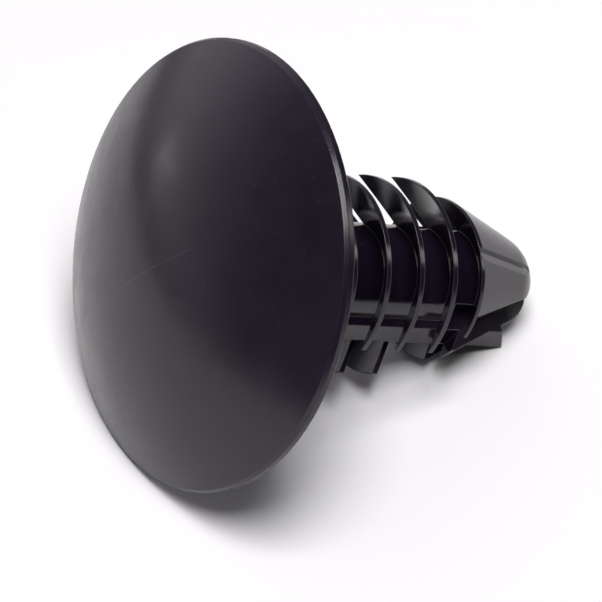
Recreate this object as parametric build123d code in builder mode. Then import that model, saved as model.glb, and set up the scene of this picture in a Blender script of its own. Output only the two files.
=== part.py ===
from build123d import *
import os
from math import acos, asin, atan2, cos, hypot, pi, radians, sin, sqrt, tan

# A one-piece moulded push rivet: a domed head on a short core that carries two staggered rows
# of swept-back half fins, with a thin rib in the gap between the rows and a blunt, split nose.
# It is built upright, with the seat ring of the head at height zero and the shank along +Z,
# and is then laid down as it comes to rest on its head and nose.

# Head
head_diameter = 25.0
head_edge_height = 0.64
head_edge_chamfer = 0.16
dome_height = 3.65
seat_ring_width = 1.5
underside_depth = 1.4
neck_chamfer = 0.5

# Core
core_diameter = 5.8

# Fins: heights are those of the edge that faces the nose
fin_diameter = 11.2
fin_edge_height = 0.34
fin_sweep = 37.0
fin_pitch = 2.39
first_fin_height = 5.66
front_fin_count = 4
back_fin_count = 3
back_fin_offset = fin_pitch / 2
row_gap = 3.6

# Nose
nose_gap = 2.53
nose_diameter = 9.3
nose_land = 0.25
nose_length = 6.74
tip_radius = 2.9
crease_depth = 0.16
crease_width = 0.9
slot_end_width = 1.5
flat_reach = 3.5
flat_angle = 19.5

# Rib along one side of the shank, in the gap between the two rows: its outer face leans out and
# its end runs on towards the back row
rib_thickness = 1.2
rib_reach = 3.36
rib_lean = 0.42
rib_overrun = 4.15
rib_skew = 0.8

# Room left between the end of the rib and the table that the rivet lies on
rib_table_gap = 0.1

head_radius = head_diameter / 2
core_radius = core_diameter / 2
fin_radius = fin_diameter / 2
nose_radius = nose_diameter / 2
sweep_rise = tan(radians(fin_sweep))
front_heights = [first_fin_height + i * fin_pitch for i in range(front_fin_count)]
back_heights = [first_fin_height + back_fin_offset + i * fin_pitch for i in range(back_fin_count)]
nose_base_height = front_heights[-1] + nose_gap
shank_length = nose_base_height + nose_length


def cap_radius(width, height):
    """Radius of the sphere that a cap of this half width and height is cut from."""
    return (width**2 + height**2) / (2 * height)


def cap_middle(width, height):
    """A point half way out on a cap, as its distance from the axis and its drop from the crown."""
    radius = cap_radius(width, height)
    return width / 2, radius - sqrt(radius**2 - (width / 2) ** 2)


# Head: a spherical cap on a short straight edge, dished underneath round the neck
head_top = -head_edge_height - dome_height
seat_radius = head_radius - seat_ring_width
dome_x, dome_drop = cap_middle(head_radius, dome_height)
dish_x, dish_drop = cap_middle(seat_radius, underside_depth)


def dish_height(radius):
    """Height of the dished underside at this distance from the axis."""
    dish_radius = cap_radius(seat_radius, underside_depth)
    return dish_radius - sqrt(dish_radius**2 - radius**2) - underside_depth


with BuildPart() as head:
    with BuildSketch(Plane.XZ) as head_section:
        with BuildLine():
            ThreePointArc((0, head_top), (dome_x, head_top + dome_drop), (head_radius, -head_edge_height))
            Polyline((head_radius, -head_edge_height), (head_radius, 0), (seat_radius, 0))
            ThreePointArc((seat_radius, 0), (dish_x, dish_drop - underside_depth), (0, -underside_depth))
            Line((0, -underside_depth), (0, head_top))
        make_face()
        chamfer(head_section.vertices().group_by(Axis.X)[-1], head_edge_chamfer)
        with Locations((0, -underside_depth)):
            Rectangle(core_radius, underside_depth + nose_base_height, align=Align.MIN)
        # In the sketch's own coordinates, where the height is the second
        neck_corner = (core_radius, dish_height(core_radius))
        chamfer(head_section.vertices().sort_by_distance(neck_corner)[0], neck_chamfer)
    revolve(axis=Axis.Z)


def fin_row(heights):
    """Whole swept fins on the core, one for each height of the fin's nose-side edge."""
    with BuildPart() as row:
        with BuildSketch(Plane.XZ):
            with Locations((core_radius / 2, (first_fin_height + nose_base_height) / 2)):
                Rectangle(core_radius, nose_base_height - first_fin_height + 2 * fin_pitch)
            for height in heights:
                with BuildLine():
                    Polyline(
                        (0, height + fin_radius * sweep_rise),
                        (fin_radius, height),
                        (fin_radius, height - fin_edge_height),
                        (0, height - fin_edge_height + fin_radius * sweep_rise),
                        close=True,
                    )
                make_face()
        revolve(axis=Axis.Z)
    return row.part


# Each row keeps only the part beyond its side of the gap between the rows
with BuildPart() as front_fins:
    add(fin_row(front_heights))
    split(bisect_by=Plane.XZ.offset(row_gap / 2), keep=Keep.TOP)

with BuildPart() as back_fins:
    add(fin_row(back_heights))
    split(bisect_by=Plane.XZ.offset(-row_gap / 2), keep=Keep.BOTTOM)

# Nose: a cone with a rounded tip, its base undercut at the same sweep as the fins
tip_centre = shank_length - tip_radius
cone_start = nose_base_height + nose_land
cone_reach = hypot(nose_radius, tip_centre - cone_start)
cone_angle = atan2(nose_radius, tip_centre - cone_start) - asin(tip_radius / cone_reach)
tip_tangent = (tip_radius * cos(cone_angle), tip_centre + tip_radius * sin(cone_angle))
tip_middle_angle = (cone_angle + pi / 2) / 2
tip_middle = (tip_radius * cos(tip_middle_angle), tip_centre + tip_radius * sin(tip_middle_angle))
slot_width = (row_gap - rib_thickness) / 2

with BuildPart() as nose:
    with BuildSketch(Plane.XZ) as nose_section:
        with BuildLine():
            Polyline(
                (0, nose_base_height + nose_radius * sweep_rise),
                (nose_radius, nose_base_height),
                (nose_radius, cone_start),
                tip_tangent,
            )
            ThreePointArc(tip_tangent, tip_middle, (0, shank_length))
            Line((0, shank_length), (0, nose_base_height + nose_radius * sweep_rise))
        make_face()
    revolve(axis=Axis.Z)
    # Slots in line with the gaps beside the rib
    for side in (-1, 1):
        with BuildSketch(Plane.XZ.offset(side * rib_thickness / 2)):
            with Locations((0, shank_length)):
                Rectangle(2 * nose_diameter, 2 * nose_length)
            with BuildLine():
                Polyline(
                    (-core_radius, nose_base_height - nose_radius),
                    (core_radius, nose_base_height - nose_radius),
                    (core_radius, cone_start),
                    (slot_end_width / 2, tip_centre),
                    (slot_end_width / 2, 2 * shank_length),
                    (-slot_end_width / 2, 2 * shank_length),
                    (-slot_end_width / 2, tip_centre),
                    (-core_radius, cone_start),
                    close=True,
                )
            make_face(mode=Mode.SUBTRACT)
        extrude(amount=side * slot_width, mode=Mode.SUBTRACT)
    # A flat on the front half, on the side of the rib
    flat_fall = nose_length * tan(radians(flat_angle))
    with BuildSketch(Plane.XZ.offset(rib_thickness / 2)):
        with BuildLine():
            Polyline(
                (flat_reach, cone_start),
                (flat_reach - flat_fall, cone_start + nose_length),
                (nose_diameter, cone_start + nose_length),
                (nose_diameter, cone_start),
                close=True,
            )
        make_face()
    extrude(amount=nose_radius, mode=Mode.SUBTRACT)
    # A crease down the middle of the front half: steep on one side and shallow on the other
    crease_start = Vector(0, -nose_radius, cone_start)
    crease_direction = Vector(0, sin(cone_angle), cos(cone_angle))
    with BuildSketch(Plane(crease_start, x_dir=(1, 0, 0), z_dir=crease_direction)):
        with BuildLine():
            Polyline(
                (-crease_depth, -crease_depth),
                (0, crease_depth),
                (crease_width, 0),
                (crease_width, -crease_depth),
                close=True,
            )
        make_face()
    extrude(amount=cone_reach, both=True, mode=Mode.SUBTRACT)

# Rib: it starts with the first fin and ends beside the nose
rib_start_height = first_fin_height - fin_edge_height
rib_end_height = nose_base_height + rib_overrun
with BuildPart() as rib:
    for side in (-1, 1):
        reach = rib_reach + (rib_lean if side < 0 else 0)
        end_height = rib_end_height + (rib_skew if side < 0 else 0)
        with BuildSketch(Plane.XZ.offset(side * rib_thickness / 2)):
            with BuildLine():
                Polyline(
                    (0, rib_start_height),
                    (core_radius, rib_start_height),
                    (reach, rib_start_height + reach - core_radius),
                    (reach, end_height),
                    (0, end_height),
                    close=True,
                )
            make_face()
    loft()

with BuildPart() as upright:
    add(head.part)
    add(front_fins.part)
    add(back_fins.part)
    add(nose.part)
    add(rib.part)

# Resting place: the edge of the head and the first point of the shank that comes down touch
# the table, and the rivet has rolled until the end of its rib is just clear of it


def lean(radius, height, rounding=0):
    """Angle between the axis and a table that touches the head's edge and this rounded edge."""
    across = head_radius - radius
    along = height + head_edge_chamfer
    return atan2(across, along) - asin(rounding / hypot(across, along))


tilt = min(
    lean(0, tip_centre, tip_radius),
    lean(nose_radius, cone_start),
    lean(fin_radius, back_heights[-1]),
)
table_distance = head_radius * cos(tilt) - head_edge_chamfer * sin(tilt)
rib_corner_radius = hypot(rib_reach + rib_lean, rib_thickness / 2)
rib_corner_angle = atan2(rib_thickness / 2, rib_reach + rib_lean)
rib_corner_height = rib_end_height + rib_skew
room_at_rib_end = (table_distance - rib_table_gap - rib_corner_height * sin(tilt)) / cos(tilt)
roll = rib_corner_angle + acos(min(1, room_at_rib_end / rib_corner_radius))
down = Vector(cos(roll) * cos(tilt), sin(roll) * cos(tilt), sin(tilt))
along_table = Vector(0, 0, 1) - down * sin(tilt)
table = Plane(down * table_distance, x_dir=along_table, z_dir=-down)

# The origin is on the table, under the middle of the rivet
lying = table.to_local_coords(upright.part)
extent = lying.bounding_box()
with BuildPart() as push_rivet:
    with Locations((-extent.center().X, -extent.center().Y, -extent.min.Z)):
        add(lying)

push_rivet.part.label = "push_rivet"
os.makedirs("parts", exist_ok=True)
export_step(push_rivet.part, "parts/push_rivet.step")
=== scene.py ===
import math

import bpy
from mathutils import Matrix, Vector

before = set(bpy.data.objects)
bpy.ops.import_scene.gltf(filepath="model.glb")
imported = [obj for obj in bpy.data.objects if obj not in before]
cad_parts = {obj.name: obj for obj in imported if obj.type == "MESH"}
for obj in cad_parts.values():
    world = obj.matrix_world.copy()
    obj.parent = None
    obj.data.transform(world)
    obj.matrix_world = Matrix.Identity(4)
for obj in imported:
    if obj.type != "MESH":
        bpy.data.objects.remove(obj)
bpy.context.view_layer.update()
MM = 0.001

# The rivet's own axis, from the middle of its seat ring towards the nose, in the frame's metres
AXIS_START = Vector((-7.0302, 0.0, 11.2019)) * MM
AXIS = Vector((0.901686, 0.0, -0.432391))

# Stretches along that axis, from the seat ring: from head to shank, and from cone to rubbed tip
HEAD_TO_SHANK = (-0.2 * MM, 0.3 * MM)
CONE_TO_TIP = (19.9 * MM, 21.0 * MM)

# The dome is part of a sphere with its centre on the axis
DOME_RADIUS = 23.23 * MM
DOME_CENTRE_ALONG = 18.94 * MM
DOME_CENTRE = AXIS_START + AXIS * DOME_CENTRE_ALONG
CROWN_ALONG = DOME_CENTRE_ALONG - DOME_RADIUS
# Depths below the crown between which the sphere's own normal gives way to the bevelled one
DOME_NORMAL_DEPTHS = (3.2 * MM, 2.6 * MM)

# A faint scratch on the dome
SCRATCH_START = Vector((-12.20, 2.46, 9.24)) * MM
SCRATCH_END = Vector((-9.07, -2.86, 15.89)) * MM
SCRATCH_EDGES = (0.09 * MM, 0.02 * MM)
SCRATCH_FADE_IN = 1.5 * MM
SCRATCH_FADE_OUT = 2.0 * MM

# Colours, linear
DEEP_BLACK = (0.0085, 0.0056, 0.0128, 1)
PALE_BLACK = (0.0145, 0.0098, 0.0198, 1)
DUST = (0.0380, 0.0320, 0.0460, 1)
# Paler edge colour: partly rubbed wear, partly a painted highlight along the edges
EDGE_WEAR_AND_HIGHLIGHT = (0.075, 0.070, 0.085, 1)
RUBBED_TIP = (0.16, 0.17, 0.14, 1)
SCRATCHED = (0.050, 0.044, 0.056, 1)
TABLE = (0.96, 0.955, 0.95, 1)
TABLE_TO_CAMERA = (1.10, 1.10, 1.10, 1)
ROOM = (0.98, 0.93, 1.0, 1)
WHITE = (1, 1, 1, 1)

# Roughness, from the smoothest to the roughest patches
DOME_ROUGHNESS = (0.19, 0.28)
SHANK_ROUGHNESS = (0.12, 0.20)
NYLON_IOR = 1.53
EDGE_RADIUS = 0.09 * MM

# Camera, fitted to the photograph
CAMERA_PLACE = Vector((-94.45, -165.6886, 176.8274)) * MM
CAMERA_AIM = Vector((-3.4317, -3.4446, 9.8167)) * MM
CAMERA_ROLL = math.radians(1.016)
LENS_MM = 272.404
SENSOR_MM = 36.0
CLIP_START = 0.01

TABLE_RADIUS = 0.085
# The lamps face this point, from this distance
LAMP_AIM = Vector((0.0, 0.0, 8.0)) * MM
LAMP_DISTANCE = 0.6

# World levels: behind the rivet, towards the camera, the share left on the right, below the table
ROOM_BEHIND = 0.85
ROOM_IN_FRONT = 0.10
SHARE_ON_RIGHT = 0.15
BELOW_TABLE = 0.30


def facing(place, aim, roll=0.0):
    """Rotation of a camera or lamp that faces a point, turned by roll about its line of sight."""
    return (aim - place).to_track_quat("-Z", "Y").to_matrix() @ Matrix.Rotation(roll, 3, "Z")


def put_at(obj, place, turn):
    """Adds a camera or lamp to the scene at a place, with a rotation."""
    bpy.context.scene.collection.objects.link(obj)
    obj.location = place
    obj.rotation_euler = turn.to_euler()


class Nodes:
    """Adds and links shader nodes with short calls."""

    # For each kind of Mix node, its two inputs and its output
    MIX_SOCKETS = {"FLOAT": (2, 3, 0), "VECTOR": (4, 5, 1), "RGBA": (6, 7, 2)}

    def __init__(self, tree):
        self.tree = tree
        tree.nodes.clear()

    def add(self, kind, inputs=None, **settings):
        node = self.tree.nodes.new(kind)
        for name, value in settings.items():
            setattr(node, name, value)
        for name, value in (inputs or {}).items():
            self.put(node.inputs[name], value)
        return node

    def put(self, socket, value):
        if isinstance(value, bpy.types.NodeSocket):
            self.tree.links.new(value, socket)
        else:
            socket.default_value = value

    def times(self, a, b):
        return self.add("ShaderNodeMath", {0: a, 1: b}, operation="MULTIPLY").outputs[0]

    def size_of(self, value):
        return self.add("ShaderNodeMath", {0: value}, operation="ABSOLUTE").outputs[0]

    def minus(self, a, b):
        return self.add("ShaderNodeVectorMath", {0: a, 1: b}, operation="SUBTRACT").outputs[0]

    def dot(self, a, b):
        return self.add("ShaderNodeVectorMath", {0: a, 1: b}, operation="DOT_PRODUCT").outputs["Value"]

    def noise(self, where, scale, detail, roughness, distortion=0.0):
        settings = {"Scale": scale, "Detail": detail, "Roughness": roughness, "Distortion": distortion}
        return self.add("ShaderNodeTexNoise", {"Vector": where, **settings}).outputs[0]

    def span(self, value, low, high, to_low=0.0, to_high=1.0):
        """Goes smoothly from one value to another as the input goes from low to high."""
        return self.add(
            "ShaderNodeMapRange",
            {"Value": value, "From Min": low, "From Max": high, "To Min": to_low, "To Max": to_high},
            interpolation_type="SMOOTHSTEP",
        ).outputs[0]

    def mix(self, share, a, b, kind="RGBA"):
        first, second, out = self.MIX_SOCKETS[kind]
        return self.add("ShaderNodeMix", {0: share, first: a, second: b}, data_type=kind).outputs[out]

    def bump(self, strength, distance, height, normal):
        return self.add(
            "ShaderNodeBump",
            {"Strength": strength, "Distance": distance, "Height": height, "Normal": normal},
        ).outputs[0]


def dome_normal(n, place):
    """The sphere's own normal, which has no facets."""
    outward = n.add(
        "ShaderNodeVectorTransform",
        {0: n.minus(place, DOME_CENTRE)},
        vector_type="NORMAL",
        convert_from="OBJECT",
        convert_to="WORLD",
    ).outputs[0]
    return n.add("ShaderNodeVectorMath", {0: outward}, operation="NORMALIZE").outputs[0]


def scratch_mask(n, place, on_dome, speck):
    """1 on the scratch, which follows the dome from the left side to above its middle."""
    side = (SCRATCH_START - DOME_CENTRE).cross(SCRATCH_END - DOME_CENTRE).normalized()
    way = (SCRATCH_END - SCRATCH_START).normalized()
    length = (SCRATCH_END - SCRATCH_START).length
    off = n.size_of(n.dot(n.minus(place, DOME_CENTRE), side))
    down = n.dot(n.minus(place, SCRATCH_START), way)
    mask = n.span(off, *SCRATCH_EDGES)
    mask = n.times(mask, n.span(down, 0.0, SCRATCH_FADE_IN))
    mask = n.times(mask, n.span(down, length, length - SCRATCH_FADE_OUT))
    return n.times(mask, n.times(on_dome, n.span(speck, 0.30, 0.60, 0.3, 1.0)))


def nylon():
    """Black moulded nylon: satin on the dome, glossier on the shank, paler on edges, partly from rubbed
    wear and partly a painted highlight.
    """
    material = bpy.data.materials.new("black_nylon_look")
    material.use_nodes = True
    n = Nodes(material.node_tree)
    place = n.add("ShaderNodeTexCoord").outputs["Object"]
    along = n.dot(n.minus(place, AXIS_START), AXIS)
    on_shank = n.span(along, *HEAD_TO_SHANK)
    on_dome = n.span(along, *(CROWN_ALONG + depth for depth in DOME_NORMAL_DEPTHS))

    cloud = n.noise(place, 160.0, 4.0, 0.55)
    speck = n.noise(place, 2600.0, 3.0, 0.6)
    grain = n.noise(place, 9000.0, 2.0, 0.5)
    smear = n.noise(place, 420.0, 5.0, 0.65, 0.6)

    # Paler edges, partly rubbed wear and partly a painted highlight: where the rounded normal leaves the
    # true one
    round_normal = n.add("ShaderNodeBevel", {"Radius": EDGE_RADIUS}, samples=6).outputs[0]
    true_normal = n.add("ShaderNodeNewGeometry").outputs["True Normal"]
    edge_wear_and_highlight = n.span(n.dot(round_normal, true_normal), 0.995, 0.90)
    edge_wear_and_highlight = n.times(edge_wear_and_highlight, n.span(smear, 0.30, 0.62, 0.25, 1.0))

    # The point of the nose is rubbed to a greenish grey
    tip = n.times(n.span(along, *CONE_TO_TIP), n.span(smear, 0.25, 0.60, 0.4, 1.0))
    scratch = scratch_mask(n, place, on_dome, speck)

    colour = n.mix(n.span(cloud, 0.35, 0.68), DEEP_BLACK, PALE_BLACK)
    colour = n.mix(n.times(n.span(speck, 0.60, 0.78), 0.35), colour, DUST)
    # Painted edge highlight, with some rubbed wear: paler where the edges are rounded
    colour = n.mix(n.times(edge_wear_and_highlight, 0.55), colour, EDGE_WEAR_AND_HIGHLIGHT)
    colour = n.mix(n.times(tip, 0.60), colour, RUBBED_TIP)
    colour = n.mix(n.times(scratch, 0.5), colour, SCRATCHED)

    satin = n.span(smear, 0.30, 0.70, *DOME_ROUGHNESS)
    gloss = n.span(smear, 0.30, 0.70, *SHANK_ROUGHNESS)
    rough = n.mix(on_shank, satin, gloss, "FLOAT")

    normal = n.mix(on_dome, round_normal, dome_normal(n, place), "VECTOR")
    normal = n.bump(0.10, 0.02 * MM, grain, normal)
    normal = n.bump(0.08, 0.05 * MM, smear, normal)

    shader = n.add(
        "ShaderNodeBsdfPrincipled",
        {"Base Color": colour, "Roughness": rough, "IOR": NYLON_IOR, "Normal": normal},
    )
    n.add("ShaderNodeOutputMaterial", {"Surface": shader.outputs[0]})
    return material


def floor_look():
    """A matt white table, a little brighter to the camera so that it is white round the shadow."""
    material = bpy.data.materials.new("table_white")
    material.use_nodes = True
    n = Nodes(material.node_tree)
    seen = n.add("ShaderNodeLightPath").outputs["Is Camera Ray"]
    shader = n.add("ShaderNodeBsdfDiffuse", {"Color": n.mix(seen, TABLE, TABLE_TO_CAMERA)})
    n.add("ShaderNodeOutputMaterial", {"Surface": shader.outputs[0]})
    return material


# Object
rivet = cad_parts["push_rivet"]
look = nylon()
for slot in rivet.material_slots:
    slot.material = look
if not rivet.material_slots:
    rivet.data.materials.append(look)

# Floor: a round sheet of white paper
bpy.ops.mesh.primitive_circle_add(vertices=128, radius=TABLE_RADIUS, fill_type="NGON", location=(0, 0, 0))
floor = bpy.context.object
floor.name = "table"
floor.data.materials.append(floor_look())

camera_turn = facing(CAMERA_PLACE, CAMERA_AIM, CAMERA_ROLL)
camera_right, camera_up, camera_back = (camera_turn.col[i].copy() for i in range(3))

# World: a room that is pale behind the rivet on the left and darkens towards the camera and the right
world = bpy.data.worlds.new("studio")
bpy.context.scene.world = world
world.use_nodes = True
w = Nodes(world.node_tree)
way = w.add("ShaderNodeTexCoord").outputs["Generated"]
height = w.add("ShaderNodeSeparateXYZ", {0: way}).outputs[2]
room = w.times(
    w.span(w.dot(way, camera_back), -0.35, 0.45, ROOM_BEHIND, ROOM_IN_FRONT),
    w.span(w.dot(way, camera_right), -0.25, 0.45, 1.0, SHARE_ON_RIGHT),
)
level = w.mix(w.span(height, -0.10, 0.02), BELOW_TABLE, room, "FLOAT")
sky = w.add("ShaderNodeBackground", {"Color": ROOM, "Strength": level})
white = w.add("ShaderNodeBackground", {"Color": WHITE, "Strength": 1.0})
seen = w.add("ShaderNodeLightPath").outputs["Is Camera Ray"]
surface = w.add("ShaderNodeMixShader", {0: seen, 1: sky.outputs[0], 2: white.outputs[0]})
w.add("ShaderNodeOutputWorld", {"Surface": surface.outputs[0]})


def softbox(name, direction, width, height, radiance, colour):
    """A rectangular lamp in a direction given as (right, up, towards the camera) of the main view."""
    lamp = bpy.data.lights.new(name, "AREA")
    lamp.shape = "RECTANGLE"
    lamp.size = width
    lamp.size_y = height
    lamp.energy = radiance * math.pi * width * height
    lamp.color = colour
    way = camera_right * direction[0] + camera_up * direction[1] + camera_back * direction[2]
    place = LAMP_AIM + way.normalized() * LAMP_DISTANCE
    put_at(bpy.data.objects.new(name, lamp), place, facing(place, LAMP_AIM))


# Widths and heights in metres
softbox("key", (0.065, 0.525, 0.85), 0.25, 0.34, 12.0, (1.0, 0.98, 1.0))
softbox("side", (0.94, 0.28, 0.17), 0.10, 0.16, 3.5, (1.0, 0.98, 1.0))
softbox("window", (-0.89, 0.34, -0.30), 0.12, 0.05, 1.2, (0.97, 1.0, 0.98))

# Camera
camera = bpy.data.objects.new("camera", bpy.data.cameras.new("camera"))
camera.data.lens = LENS_MM
camera.data.sensor_width = SENSOR_MM
camera.data.clip_start = CLIP_START
put_at(camera, CAMERA_PLACE, camera_turn)
bpy.context.scene.camera = camera
bpy.context.scene.view_settings.view_transform = "Standard"
